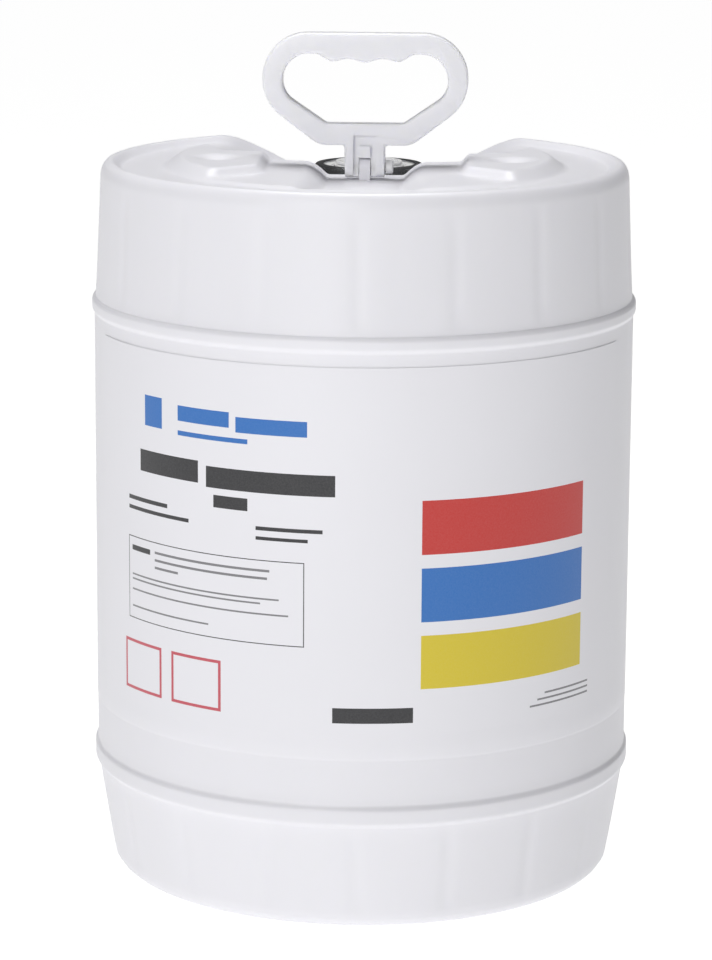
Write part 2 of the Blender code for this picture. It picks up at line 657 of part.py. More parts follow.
def make_cap(cap_finish, liner_finish):
    bore = NOZZLE_RADIUS + THREAD_RISE + CAP_CLEARANCE
    outer = bore + CAP_WALL
    lid = CAP_TOP - CAP_LID
    section = [(0.0, CAP_TOP), (CAP_RIM - 0.0005, CAP_TOP), (CAP_RIM, CAP_TOP - 0.0005),
               (CAP_RIM, lid - 0.0002),
               (outer, lid - 0.0010), (outer - 0.0003, -CAP_SKIRT), (bore, -CAP_SKIRT), (bore, lid),
               (0.0, lid)]
    cap = at_neck("screw_cap", turned(section, 40), cap_finish)
    inboard = math.sqrt((BAIL_OUTER - BAIL_WIDTH) ** 2 - EAR_HALF_DEPTH ** 2) - GAP
    ear_low = CAP_TOP - CAP_LID / 3
    ear_high = CAP_TOP + GAP + BAIL_THICKNESS
    for side, tag in ((-1, "left"), (1, "right")):
        low = min(side * inboard, side * (inboard - EAR_WIDTH))
        high = max(side * inboard, side * (inboard - EAR_WIDTH))
        ear = box((low, -EAR_HALF_DEPTH, ear_low), (high, EAR_HALF_DEPTH, ear_high))
        boolean(cap, at_neck("cap_ear_" + tag, ear, None), "UNION")
    liner = [(0.0, -NOZZLE_TOP + GAP), (bore - 0.0012, -NOZZLE_TOP + GAP),
             (bore - 0.0012, -NOZZLE_TOP + GAP + LINER_THICKNESS), (0.0, -NOZZLE_TOP + GAP + LINER_THICKNESS)]
    at_neck("cap_liner", turned(liner, ROUND_SEGMENTS), liner_finish)


def bail_outline(side):
    """Half ring with straight feet that reach back to its hinge line."""
    steps = 20
    outer = []
    inner = []
    for step in range(steps + 1):
        angle = math.pi * step / steps
        for points, radius in ((outer, BAIL_OUTER), (inner, BAIL_OUTER - BAIL_WIDTH)):
            y = max(radius * math.sin(angle), BAIL_SPLIT)
            points.append((radius * math.cos(angle), side * y - side * BAIL_PIVOT_Y))
    points = outer + list(reversed(inner))
    return [(x, y) for x, y in points]


def make_bails(material):
    height = CAP_TOP + GAP + BAIL_THICKNESS / 2
    for side, name in ((1, "pull_bail_rear"), (-1, "pull_bail_front")):
        shape = extruded(bail_outline(side), BAIL_THICKNESS, axis="Z")
        at_neck(name, shape, material, height=height, y=side * BAIL_PIVOT_Y)


# ---------------------------------------------------------------------------- label

def make_label(material):
    """Thin curved film round the front of the panel, between the hoops."""
    inner = WALL_RADIUS + GAP
    shape = bmesh.new()
    rings = []
    for step in range(LABEL_SEGMENTS + 1):
        angle = math.radians(270) + 2 * math.pi * (step - LABEL_SEGMENTS / 2) / BODY_SEGMENTS
        ring = []
        for radius, height in ((inner, LABEL_LOW), (inner + LABEL_THICKNESS, LABEL_LOW),
                               (inner + LABEL_THICKNESS, LABEL_HIGH), (inner, LABEL_HIGH)):
            ring.append(shape.verts.new((radius * math.cos(angle), radius * math.sin(angle), height)))
        rings.append(ring)
    for first, second in zip(rings, rings[1:]):
        for step in range(4):
            after = (step + 1) % 4
            shape.faces.new((first[step], first[after], second[after], second[step]))
    shape.faces.new(list(reversed(rings[0])))
    shape.faces.new(rings[-1])
    add_object("label_film", shape, material)


def main():
    clear_scene()
    white = finish("white_polyethylene", (0.86, 0.86, 0.87), 0.45)
    natural = finish("natural_polyethylene", (0.84, 0.84, 0.88), 0.40, alpha=0.9)
    spout_white = finish("spout_polyethylene", (0.88, 0.88, 0.88), 0.40)
    zinc = finish("zinc_plate", (0.56, 0.57, 0.59), 0.28, metallic=1.0)
    foam = finish("liner_foam", (0.90, 0.90, 0.88), 0.80)
    film = finish("label_film", (0.88, 0.88, 0.89), 0.35)
    make_drum_shell(white)
    make_handle(natural)
    make_handle_pin(white)
    make_crimp_ring(zinc)
    make_spout(spout_white, spout_white)
    make_tear_out_seal(spout_white)
    make_cap(spout_white, foam)
    make_bails(spout_white)
    make_label(film)


main()
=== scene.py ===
"""Looks of a twenty-litre tight-head drum: moulded shell, printed film, carry handle and pull-up pour spout.

The drum stands on z = 0 with its axis on Z, the film faces -Y and the spout is towards +Y. Sizes are metres.
"""

import math

import bmesh
import bpy
from mathutils import Matrix, Vector


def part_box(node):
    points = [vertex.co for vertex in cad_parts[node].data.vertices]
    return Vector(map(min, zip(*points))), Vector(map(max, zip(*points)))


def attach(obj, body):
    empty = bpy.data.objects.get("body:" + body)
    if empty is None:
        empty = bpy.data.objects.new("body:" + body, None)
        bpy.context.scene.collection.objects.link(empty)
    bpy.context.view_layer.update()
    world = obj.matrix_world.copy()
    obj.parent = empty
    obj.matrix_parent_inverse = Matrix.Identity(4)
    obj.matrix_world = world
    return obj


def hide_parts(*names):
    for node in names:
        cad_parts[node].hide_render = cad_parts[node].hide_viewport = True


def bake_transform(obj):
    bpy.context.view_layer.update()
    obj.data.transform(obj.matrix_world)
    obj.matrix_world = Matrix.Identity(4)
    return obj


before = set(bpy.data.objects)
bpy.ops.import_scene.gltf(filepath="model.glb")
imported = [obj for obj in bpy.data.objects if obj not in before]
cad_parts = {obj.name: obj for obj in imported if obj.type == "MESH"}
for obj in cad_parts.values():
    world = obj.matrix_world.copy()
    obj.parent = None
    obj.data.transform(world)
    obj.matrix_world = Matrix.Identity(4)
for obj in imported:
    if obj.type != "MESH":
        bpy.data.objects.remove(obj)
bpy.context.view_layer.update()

bl_info = {
    "name": "Tight-head drum",
    "version": (1, 0, 0),
    "blender": (4, 5, 0),
    "location": "View3D > Sidebar > Drum",
    "description": "Models and finishes a moulded drum with a carry handle and a pull-up pour spout",
    "category": "Add Mesh",
}

# Body of the shell
WALL_RADIUS = 0.1440
HOOP_RISE = 0.0013
BASE_RADIUS = 0.1338
SHOULDER_RADIUS = 0.1404
LOWER_HOOP = (0.0570, 0.0680)
UPPER_HOOP = (0.3030, 0.3110)
PANEL_CREASE_Z = 0.0936
SHOULDER_Z = 0.3735
WALL = 0.0028

# Base
PUSH_UP = 0.0120
FOOT_INNER = 0.1130
FOOT_OUTER = 0.1280

# Head
RIM_Z = 0.3825
RIM_CREST_RADIUS = 0.1355
GUTTER_OUTER = 0.1290
GUTTER_INNER = 0.1085
GUTTER_Z = 0.3790
DECK_RADIUS = 0.1030
DECK_Z = 0.3806
DECK_MIDDLE_Z = 0.3790
LUG_RISE = 0.0044
LUG_FOOT_RADIUS = 0.1060
LUG_TOP_RADIUS = 0.0970
LUG_INNER_X = 0.0500
LUG_SLOPE = 0.0060
LUG_FRONT = math.radians(-42)
LUG_REAR = math.radians(52)
DISH_RADIUS = 0.0150
DISH_DEPTH = 0.0035
DISH_PLACE = (0.0780, -0.0130)

# Recess for the handle's stem
TROUGH_FLOOR = 0.3722
TROUGH_HALF = 0.0205
TROUGH_SIDE_RISE = 0.975
TROUGH_FRONT_Y = -0.0820
TROUGH_RAMP_RISE = 0.4875

# Pocket round the pour neck
NECK_Y = 0.0640
POCKET_FLOOR = 0.3520
POCKET_RADIUS = 0.0620
POCKET_FLARE = 0.81
POCKET_FRONT_Y = 0.0220
POCKET_FRONT_RUN = 0.0050
POCKET_REAR_STRETCH = 1.25
POUR_LIP_RISE = 0.0113
POUR_LIP_RADII = (0.1225, 0.1300)

# Pour neck and closure, from the neck's lip
NECK_TOP = 0.3700
NECK_RADIUS = 0.0272
NECK_BORE = 0.0240
BEAD_RADIUS = 0.0298
BEAD_HEIGHT = 0.0046
NOZZLE_RADIUS = 0.0148
NOZZLE_BORE = 0.0128
NOZZLE_DROP = 0.0170
NOZZLE_FOOT = 0.0178
CAP_TOP = 0.0026
CAP_RIM = 0.0190
CAP_OUTER = 0.0172
CAP_SKIRT = 0.0135
BAIL_OUTER = 0.0182
BAIL_WIDTH = 0.0024
BAIL_THICKNESS = 0.0014
BAIL_SPLIT = 0.0008

# Handle, from its pivot
PIVOT_Z = 0.3788
HANDLE_HALF = 0.0544
HANDLE_TOP = 0.0710
HANDLE_BOTTOM = 0.0118
HANDLE_THICKNESS = 0.0116
HANDLE_KNEE = 0.0344
STEM_HALF = 0.01075
BAR_TOP = 0.0109

# Printed film
FILM_INNER = 0.14425
FILM_OUTER = 0.14437
FILM_REACH = math.radians(67.5)

# Rounding where the head's surfaces meet
TROUGH_BLEND = 0.0050
POCKET_BLEND = 0.0060
POCKET_FRONT_BLEND = 0.0016
HEAD_FROM_Z = 0.345

# Stage
FLOOR_SIZE = 60.0
CAMERA_AZIMUTH = math.radians(2.1)
CAMERA_TILT = math.radians(12.02)
CAMERA_ROLL = 0.00631
CAMERA_DISTANCE = 1.92735
CAMERA_HEIGHT = 0.6188
CAMERA_OFFSET = -0.0037
CAMERA_LENS = 136.5

BODY_STEPS = 360
ROUND_STEPS = 96


class DrumSizes(bpy.types.PropertyGroup):
    groove_depth: bpy.props.FloatProperty(
        name="Groove depth", description="Depth of the upright grooves above and below the hoops",
        default=0.0006, min=0.0, max=0.002, unit="LENGTH")
    grooves: bpy.props.IntProperty(
        name="Grooves", description="Number of upright grooves round the shell", default=18, min=0, max=36)
    handle_round: bpy.props.FloatProperty(
        name="Handle rounding", description="Radius along the handle's edges", default=0.0022, unit="LENGTH")


class DrumColours(bpy.types.PropertyGroup):
    shell: bpy.props.FloatVectorProperty(
        name="Shell", description="Colour of the moulded shell", subtype="COLOR",
        default=(0.83, 0.825, 0.865))
    handle: bpy.props.FloatVectorProperty(
        name="Handle", description="Colour of the handle", subtype="COLOR", default=(0.88, 0.88, 0.91))
    closure: bpy.props.FloatVectorProperty(
        name="Closure", description="Colour of the spout and cap", subtype="COLOR",
        default=(0.84, 0.84, 0.84))
    zinc: bpy.props.FloatVectorProperty(
        name="Zinc", description="Colour of the crimp ring", subtype="COLOR", default=(0.60, 0.61, 0.63))


# ---------------------------------------------------------------------------- shader maths

class Value:
    """A shader socket that can be used in sums."""

    def __init__(self, maker, socket):
        self.maker = maker
        self.socket = socket

    def __add__(self, other):
        return self.maker.math("ADD", self, other)

    def __radd__(self, other):
        return self.maker.math("ADD", other, self)

    def __sub__(self, other):
        return self.maker.math("SUBTRACT", self, other)

    def __rsub__(self, other):
        return self.maker.math("SUBTRACT", other, self)

    def __mul__(self, other):
        return self.maker.math("MULTIPLY", self, other)

    def __rmul__(self, other):
        return self.maker.math("MULTIPLY", other, self)

    def __gt__(self, other):
        return self.maker.math("GREATER_THAN", self, other)

    def __lt__(self, other):
        return self.maker.math("LESS_THAN", self, other)


class Finish:
    """Builds one material from nodes."""

    def __init__(self, name):
        self.material = bpy.data.materials.new(name)
        self.material.use_nodes = True
        self.tree = self.material.node_tree
        self.shader = self.tree.nodes["Principled BSDF"]
        place = self.node("ShaderNodeTexCoord", {}, {}, "Object")
        self.place = place
        self.x = self.node("ShaderNodeSeparateXYZ", {}, {"Vector": place}, "X")
        self.y = self.node("ShaderNodeSeparateXYZ", {}, {"Vector": place}, "Y")
        self.z = self.node("ShaderNodeSeparateXYZ", {}, {"Vector": place}, "Z")

    def node(self, kind, settings, inputs, output=0):
        node = self.tree.nodes.new(kind)
        for key, value in settings.items():
            setattr(node, key, value)
        for key, value in inputs.items():
            self.feed(node.inputs[key], value)
        return Value(self, node.outputs[output])

    def feed(self, socket, value):
        if isinstance(value, Value):
            self.tree.links.new(value.socket, socket)
        else:
            socket.default_value = value

    def math(self, operation, first, second=0.0):
        return self.node("ShaderNodeMath", {"operation": operation}, {0: first, 1: second})

    def noise(self, scale, detail=3.0, stretch=(1.0, 1.0, 1.0)):
        vector = self.node("ShaderNodeMapping", {}, {"Vector": self.place, "Scale": stretch})
        inputs = {"Vector": vector, "Scale": scale, "Detail": detail}
        return self.node("ShaderNodeTexNoise", {}, inputs, "Fac")

    def mix(self, share, first, second):
        settings = {"data_type": "RGBA"}
        return self.node("ShaderNodeMix", settings, {0: share, 6: first, 7: second}, 2)

    def bump(self, height, strength, distance):
        inputs = {"Height": height, "Strength": strength, "Distance": distance}
        normal = self.node("ShaderNodeBump", {}, inputs)
        self.feed(self.shader.inputs["Normal"], normal)

    def put(self, socket, value):
        self.feed(self.shader.inputs[socket], value)


def rgba(colour, share=1.0):
    return (colour[0] * share, colour[1] * share, colour[2] * share, 1.0)


def polyethylene(name, colour, roughness=0.42, subsurface=0.12, waviness=0.35):
    """Moulded polyethylene: cloudy colour, upright flow lines and a fine pebble."""
    finish = Finish(name)
    clouds = finish.noise(14.0, 4.0)
    flow = finish.noise(60.0, 3.0, (1.0, 1.0, 0.12))
    pebble = finish.noise(1500.0, 2.0)
    tone = clouds * 0.6 + flow * 0.4
    finish.put("Base Color", finish.mix(tone, rgba(colour, 0.965), rgba(colour, 1.02)))
    finish.put("Roughness", roughness - 0.06 + clouds * 0.07 + flow * 0.05)
    finish.bump(flow * waviness + pebble * 0.25 + clouds * 0.4, 0.25, 0.0002)
    finish.put("Subsurface Weight", subsurface)
    finish.put("Subsurface Radius", (0.6, 0.6, 0.7))
    finish.put("Subsurface Scale", 0.004)
    finish.put("IOR", 1.51)
    return finish


def zinc_plate(name, colour):
    """Bright plated steel with fine rolling marks and faint clouding."""
    finish = Finish(name)
    clouds = finish.noise(90.0, 4.0)
    marks = finish.noise(900.0, 2.0, (1.0, 1.0, 6.0))
    finish.put("Base Color", finish.mix(clouds, rgba(colour, 0.88), rgba(colour, 1.08)))
    finish.put("Metallic", 1.0)
    finish.put("Roughness", 0.14 + clouds * 0.08 + marks * 0.06)
    finish.bump(marks, 0.15, 0.00005)
    return finish


# Plain printed areas: left and right angle in degrees, low and high edge, ink
PRINT = (
    (-49.0, -43.5, 0.2560, 0.2720, "blue"),
    (-38.9, -26.0, 0.2620, 0.2700, "blue"),
    (-24.5, -9.2, 0.2600, 0.2680, "blue"),
    (-38.9, -21.8, 0.2545, 0.2570, "blue"),
    (-50.7, -33.5, 0.2315, 0.2430, "black"),
    (-31.5, -3.5, 0.2300, 0.2410, "black"),
    (-29.7, -21.8, 0.2200, 0.2265, "black"),
    (-55.2, -42.0, 0.2150, 0.2172, "black"),
    (-55.2, -36.0, 0.2098, 0.2118, "black"),
    (-20.0, -6.0, 0.2108, 0.2128, "black"),
    (-20.0, -9.0, 0.2058, 0.2076, "black"),
    (-54.0, -47.5, 0.1880, 0.1908, "black"),
    (-46.0, -17.0, 0.1893, 0.1906, "grey"),
    (-46.0, -17.5, 0.1853, 0.1866, "grey"),
    (-46.0, -39.0, 0.1813, 0.1826, "grey"),
    (-54.0, -15.0, 0.1748, 0.1757, "grey"),
    (-54.0, -19.0, 0.1723, 0.1732, "grey"),
    (-54.0, -13.0, 0.1668, 0.1677, "grey"),
    (-54.0, -31.0, 0.1578, 0.1587, "grey"),
    (-3.9, 12.5, 0.1125, 0.1205, "black"),
    (14.0, 54.0, 0.2000, 0.2280, "red"),
    (14.0, 54.0, 0.1650, 0.1930, "blue"),
    (14.0, 54.0, 0.1300, 0.1580, "yellow"),
    (43.0, 57.0, 0.1195, 0.1205, "grey"),
    (41.0, 57.0, 0.1165, 0.1175, "grey"),
    (39.0, 57.0, 0.1135, 0.1145, "grey"),
)
# Plain outlined boxes: left and right angle, low and high edge, line width, ink
OUTLINES = (
    (-55.4, -9.7, 0.1515, 0.1955, 0.0005, "black"),
    (-57.0, -44.0, 0.1130, 0.1400, 0.0016, "rose"),
    (-41.0, -28.0, 0.1130, 0.1400, 0.0016, "rose"),
)
INKS = {
    "black": (0.012, 0.012, 0.014),
    "grey": (0.20, 0.20, 0.21),
    "blue": (0.010, 0.150, 0.500),
    "red": (0.560, 0.020, 0.012),
    "yellow": (0.680, 0.540, 0.010),
    "rose": (0.560, 0.070, 0.100),
}


def inside(value, low, high):
    return (value > low) * (value < high)


def printed_film(name, colour):
    """Satin film with plain printed bars, outlined boxes and colour panels."""
    finish = Finish(name)
    angle = finish.math("ARCTAN2", finish.x, 0.0 - finish.y) * math.degrees(1.0)
    grain = finish.noise(1200.0, 2.0)
    clouds = finish.noise(16.0, 3.0)
    shown = finish.mix(clouds, rgba(colour, 0.975), rgba(colour, 1.01))
    ink_cover = None
    for ink, tone in INKS.items():
        cover = None
        for left, right, low, high, kind in PRINT:
            if kind != ink:
                continue
            area = inside(angle, left, right) * inside(finish.z, low, high)
            cover = area if cover is None else finish.math("MAXIMUM", cover, area)
        for left, right, low, high, line, kind in OUTLINES:
            if kind != ink:
                continue
            turn = math.degrees(line / WALL_RADIUS)
            outer = inside(angle, left, right) * inside(finish.z, low, high)
            inner = inside(angle, left + turn, right - turn) * inside(finish.z, low + line, high - line)
            area = outer - inner
            cover = area if cover is None else finish.math("MAXIMUM", cover, area)
        if cover is None:
            continue
        shown = finish.mix(cover * (0.94 + grain * 0.06), shown, rgba(tone))
        ink_cover = cover if ink_cover is None else finish.math("MAXIMUM", ink_cover, cover)
    finish.put("Base Color", shown)
    finish.put("Roughness", 0.38 + clouds * 0.04 - ink_cover * 0.08)
    finish.bump(grain * 0.4 + ink_cover * 0.6, 0.12, 0.00005)
    return finish


# ---------------------------------------------------------------------------- modelling

def start_clean():
    if bpy.context.object and bpy.context.object.mode != "OBJECT":
        bpy.ops.object.mode_set(mode="OBJECT")
    bpy.ops.object.select_all(action="DESELECT")


def draw_chain(name, points):
    """A new mesh of one chain of edges through the points, left open in edit mode."""
    start_clean()
    bpy.ops.mesh.primitive_plane_add(size=0.001, location=(0.0, 0.0, 0.0))
    piece = bpy.context.object
    piece.name = name
    piece.data.name = name
    bpy.ops.object.mode_set(mode="EDIT")
    bpy.ops.mesh.select_mode(type="VERT")
    bpy.ops.mesh.select_all(action="SELECT")
    bpy.ops.mesh.merge(type="CENTER")
    bpy.ops.transform.translate(value=points[0])
    for before, after in zip(points, points[1:]):
        step = tuple(b - a for a, b in zip(before, after))
        bpy.ops.mesh.extrude_vertices_move(TRANSFORM_OT_translate={"value": step})
    return piece


def turned(name, profile, steps=ROUND_STEPS, centre=(0.0, 0.0)):
    """Spin a profile of (radius, height) about an upright axis."""
    points = [(centre[0] + radius, centre[1], height) for radius, height in profile]
    piece = draw_chain(name, points)
    bpy.ops.mesh.select_all(action="SELECT")
    bpy.ops.mesh.spin(steps=steps, angle=2 * math.pi, center=(*centre, 0.0), axis=(0.0, 0.0, 1.0))
    close_up()
    return piece


def close_up():
    bpy.ops.mesh.select_all(action="SELECT")
    bpy.ops.mesh.remove_doubles(threshold=0.000005)
    bpy.ops.mesh.normals_make_consistent(inside=False)
    bpy.ops.object.mode_set(mode="OBJECT")


def slab(name, outline, thickness, axis, offset=0.0):
    """Extrude a closed outline along Y (outline in X, Z), X (in Y, Z) or Z (in X, Y)."""
    index = "XYZ".index(axis)
    low = offset - thickness / 2
    points = []
    for first, second in outline:
        point = [first, second]
        point.insert(index, low)
        points.append(tuple(point))
    piece = draw_chain(name, points)
    bpy.ops.mesh.select_all(action="SELECT")
    bpy.ops.mesh.edge_face_add()
    step = [0.0, 0.0, 0.0]
    step[index] = thickness
    bpy.ops.mesh.extrude_region_move(TRANSFORM_OT_translate={"value": tuple(step)})
    close_up()
    return piece


def apply_modifier(piece, kind, **settings):
    start_clean()
    bpy.context.view_layer.objects.active = piece
    piece.select_set(True)
    change = piece.modifiers.new(kind.lower(), kind)
    for key, value in settings.items():
        setattr(change, key, value)
    bpy.ops.object.modifier_apply(modifier=change.name)


def combine(piece, tool, operation):
    apply_modifier(piece, "BOOLEAN", operation=operation, solver="EXACT", object=tool)
    bpy.data.objects.remove(tool, do_unlink=True)


def dress(piece, finish, body, nodes=(), angle=35):
    """Smooth a finished piece, give it its material and tie it to its body."""
    start_clean()
    bpy.context.view_layer.objects.active = piece
    piece.select_set(True)
    bpy.ops.object.transform_apply(location=True, rotation=True, scale=True)
    bpy.ops.object.shade_smooth_by_angle(angle=math.radians(angle))
    piece.data.materials.clear()
    piece.data.materials.append(finish.material)
    if body:
        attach(piece, body)
    if nodes:
        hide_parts(*nodes)


def arc(centre, radius, start, end, steps):
    """Points of an arc in a profile, in degrees."""
    points = []
    for step in range(steps + 1):
        angle = math.radians(start + (end - start) * step / steps)
        points.append((centre[0] + radius * math.cos(angle), centre[1] + radius * math.sin(angle)))
    return points


def rounded(corners, steps=10):
    """Closed outline through (x, z, radius) corners, each rounded."""
    points = []
    count = len(corners)
    for index, (x, z, radius) in enumerate(corners):
        if radius <= 0.0:
            points.append((x, z))
            continue
        px, pz, _ = corners[index - 1]
        nx, nz, _ = corners[(index + 1) % count]
        ax, az = px - x, pz - z
        bx, bz = nx - x, nz - z
        al, bl = math.hypot(ax, az), math.hypot(bx, bz)
        ax, az, bx, bz = ax / al, az / al, bx / bl, bz / bl
        half = math.acos(max(-1.0, min(1.0, ax * bx + az * bz))) / 2
        reach = radius / math.tan(half)
        mx, mz = ax + bx, az + bz
        span = radius / math.sin(half) / math.hypot(mx, mz)
        cx, cz = x + mx * span, z + mz * span
        start = math.atan2(z + az * reach - cz, x + ax * reach - cx)
        end = math.atan2(z + bz * reach - cz, x + bx * reach - cx)
        turn = (end - start + math.pi) % (2 * math.pi) - math.pi
        for step in range(steps + 1):
            angle = start + turn * step / steps
            points.append((cx + radius * math.cos(angle), cz + radius * math.sin(angle)))
    return points


# ---------------------------------------------------------------------------- shell

def smooth_step(low, high, value):
    share = max(0.0, min(1.0, (value - low) / (high - low)))
    return share * share * (3 - 2 * share)


def soft_min(first, second, width):
    near = max(width - abs(first - second), 0.0) / width
    return min(first, second) - near * near * width / 4


def soft_max(first, second, width):
    return -soft_min(-first, -second, width)


def body_radius(height):
    """Wall radius between the foot and the shoulder, hoops included."""
    if height < LOWER_HOOP[0]:
        share = max(height, 0.0) / LOWER_HOOP[0]
        radius = BASE_RADIUS + (WALL_RADIUS - 0.0006 - BASE_RADIUS) * share ** 0.9
    elif height > UPPER_HOOP[1]:
        share = (height - UPPER_HOOP[1]) / (SHOULDER_Z - UPPER_HOOP[1])
        radius = WALL_RADIUS - 0.0006 + (SHOULDER_RADIUS - WALL_RADIUS + 0.0006) * min(share, 1.0) ** 0.85
    else:
        radius = WALL_RADIUS - 0.0002 * (1 - smooth_step(PANEL_CREASE_Z - 0.001, PANEL_CREASE_Z, height))
    for low, high in (LOWER_HOOP, UPPER_HOOP):
        rise = smooth_step(low - 0.0006, low + 0.0022, height)
        rise *= smooth_step(-high - 0.0006, -high + 0.0022, -height)
        radius += (WALL_RADIUS + HOOP_RISE - radius) * rise
    return radius


def head_section(radius):
    """Height of the head at a radius, before lugs and recesses."""
    height = DECK_MIDDLE_Z + (DECK_Z - DECK_MIDDLE_Z) * smooth_step(0.0, 0.0876, radius)
    height += (GUTTER_Z - DECK_Z) * smooth_step(DECK_RADIUS, GUTTER_INNER, radius)
    return height + (RIM_Z - GUTTER_Z) * smooth_step(GUTTER_OUTER - 0.0005, RIM_CREST_RADIUS - 0.0010, radius)


def lug_share(x, y, radius):
    angle = math.atan2(y, abs(x))
    shares = (
        (LUG_FOOT_RADIUS - radius) / (LUG_FOOT_RADIUS - LUG_TOP_RADIUS),
        (abs(x) - LUG_INNER_X) / LUG_SLOPE,
        (angle - LUG_FRONT) * radius / LUG_SLOPE,
        (LUG_REAR - angle) * radius / LUG_SLOPE,
    )
    share = soft_min(soft_min(shares[0], shares[1], 0.7), soft_min(shares[2], shares[3], 0.7), 0.7)
    return smooth_step(0.0, 1.0, share)


def recess(x, y, grow):
    """Height of the floor of the stem's trough and the pour pocket."""
    side = (abs(x) - TROUGH_HALF - grow) * TROUGH_SIDE_RISE
    ramp = (TROUGH_FRONT_Y - grow - y) * TROUGH_RAMP_RISE
    trough = TROUGH_FLOOR - grow + soft_max(soft_max(side, ramp, 0.0015), 0.0, 0.0012)
    back = y - NECK_Y
    if back > 0.0:
        back /= POCKET_REAR_STRETCH
    distance = math.hypot(x, back)
    flare = (distance - POCKET_RADIUS - grow) / POCKET_FLARE
    front = (POCKET_FRONT_Y - grow - y) * (DECK_Z - POCKET_FLOOR) / POCKET_FRONT_RUN
    lip = POUR_LIP_RISE * smooth_step(*POUR_LIP_RADII, math.hypot(x, y)) if y > NECK_Y else 0.0
    pocket = POCKET_FLOOR - grow + soft_max(soft_max(flare, front, 0.004), lip, 0.0030)
    if y > POCKET_FRONT_Y + 0.004:
        trough = 1.0
    return trough, pocket


def head_height(x, y, grow=0.0):
    radius = math.hypot(x, y)
    height = head_section(radius) - grow
    lift = lug_share(x, y, radius) * LUG_RISE
    apart = math.hypot(abs(x) - DISH_PLACE[0], y - DISH_PLACE[1]) / DISH_RADIUS
    if grow == 0.0:
        height += lift - DISH_DEPTH * smooth_step(0.0, 1.0, 1.0 - apart)
    trough, pocket = recess(x, y, grow)
    return soft_min(soft_min(height, trough, TROUGH_BLEND), pocket,
                    POCKET_BLEND if y > NECK_Y else POCKET_FRONT_BLEND)


def shell_profile():
    foot = [(0.0, PUSH_UP), (FOOT_INNER * 0.5, PUSH_UP), (FOOT_INNER - 0.016, PUSH_UP)]
    foot += [(FOOT_INNER - 0.012, PUSH_UP * 0.95), (FOOT_INNER - 0.009, PUSH_UP * 0.75)]
    foot += [(FOOT_INNER - 0.005, PUSH_UP * 0.30), (FOOT_INNER - 0.002, 0.0008), (FOOT_INNER, 0.0)]
    foot += [(FOOT_OUTER, 0.0), (FOOT_OUTER + 0.0030, 0.0005), (FOOT_OUTER + 0.0050, 0.0022)]
    heights = [0.0050 + 0.0045 * step for step in range(11)]
    for low, high in (LOWER_HOOP, UPPER_HOOP):
        heights += [low - 0.0010 + (high - low + 0.0020) * step / 16 for step in range(17)]
    heights += [0.0750, 0.0850, 0.0920, PANEL_CREASE_Z - 0.0010, PANEL_CREASE_Z - 0.0005, PANEL_CREASE_Z]
    heights += [0.1000 + 0.0200 * step for step in range(11)]
    heights += [UPPER_HOOP[1] + 0.0040 + 0.0045 * step for step in range(13)]
    wall = [(body_radius(height), height) for height in sorted(heights)]
    shoulder = []
    for step in range(13):
        angle = math.radians(90 * step / 12)
        shoulder.append((RIM_CREST_RADIUS + (SHOULDER_RADIUS - RIM_CREST_RADIUS) * math.cos(angle),
                         SHOULDER_Z + (RIM_Z - SHOULDER_Z) * math.sin(angle)))
    radii = [RIM_CREST_RADIUS - 0.0006 * step for step in range(1, 14)]
    while radii[-1] > 0.0015:
        radii.append(radii[-1] - 0.0010)
    head = [(radius, head_section(radius)) for radius in radii] + [(0.0, DECK_MIDDLE_Z)]
    return foot + wall + shoulder + head


def carve_shell(piece, depth, count):
    """Press the lugs, dishes, recesses and upright grooves into the turned shell."""
    for vert in piece.data.vertices:
        x, y, z = vert.co
        radius = math.hypot(x, y)
        if z > HEAD_FROM_Z:
            trough, pocket = recess(x, y, 0.0)
            if radius < RIM_CREST_RADIUS - 0.0001:
                vert.co.z = head_height(x, y)
            else:
                vert.co.z = soft_min(z, pocket, POCKET_BLEND)
        if radius < BASE_RADIUS or not count:
            continue
        pitch = 360 / count
        off = (math.degrees(math.atan2(x, -y)) - 0.8 + pitch / 2) % pitch - pitch / 2
        dip = smooth_step(0.0, 1.0, 1.0 - abs(off) / 2.2)
        low = smooth_step(0.006, 0.012, z) * smooth_step(-LOWER_HOOP[0] + 0.002, -LOWER_HOOP[0] + 0.008, -z)
        high = smooth_step(UPPER_HOOP[1] + 0.002, UPPER_HOOP[1] + 0.008, z)
        high *= smooth_step(-SHOULDER_Z, 0.006 - SHOULDER_Z, -z)
        trim = 1.0 - depth * dip * (low + high) / radius
        vert.co.x *= trim
        vert.co.y *= trim


def lining():
    """The inside of the shell, as the solid to cut out of it."""
    wall = [(0.0, PUSH_UP + WALL), (FOOT_INNER - 0.012, PUSH_UP + WALL), (FOOT_INNER, WALL * 1.4),
            (FOOT_OUTER, WALL * 1.2), (BASE_RADIUS - WALL, 0.0080)]
    wall += [(body_radius(height) - WALL - 0.0004, height)
             for height in (0.03, 0.05, 0.15, 0.25, 0.34, 0.365)]
    radii = [0.1350 - 0.0030 * step for step in range(45)]
    roof = [(radius, 0.3740) for radius in radii] + [(0.0, 0.3740)]
    piece = turned("lining", wall + roof, 120)
    for vert in piece.data.vertices:
        if vert.co.z > HEAD_FROM_Z:
            vert.co.z = min(vert.co.z, head_height(vert.co.x, vert.co.y, WALL))
    return piece


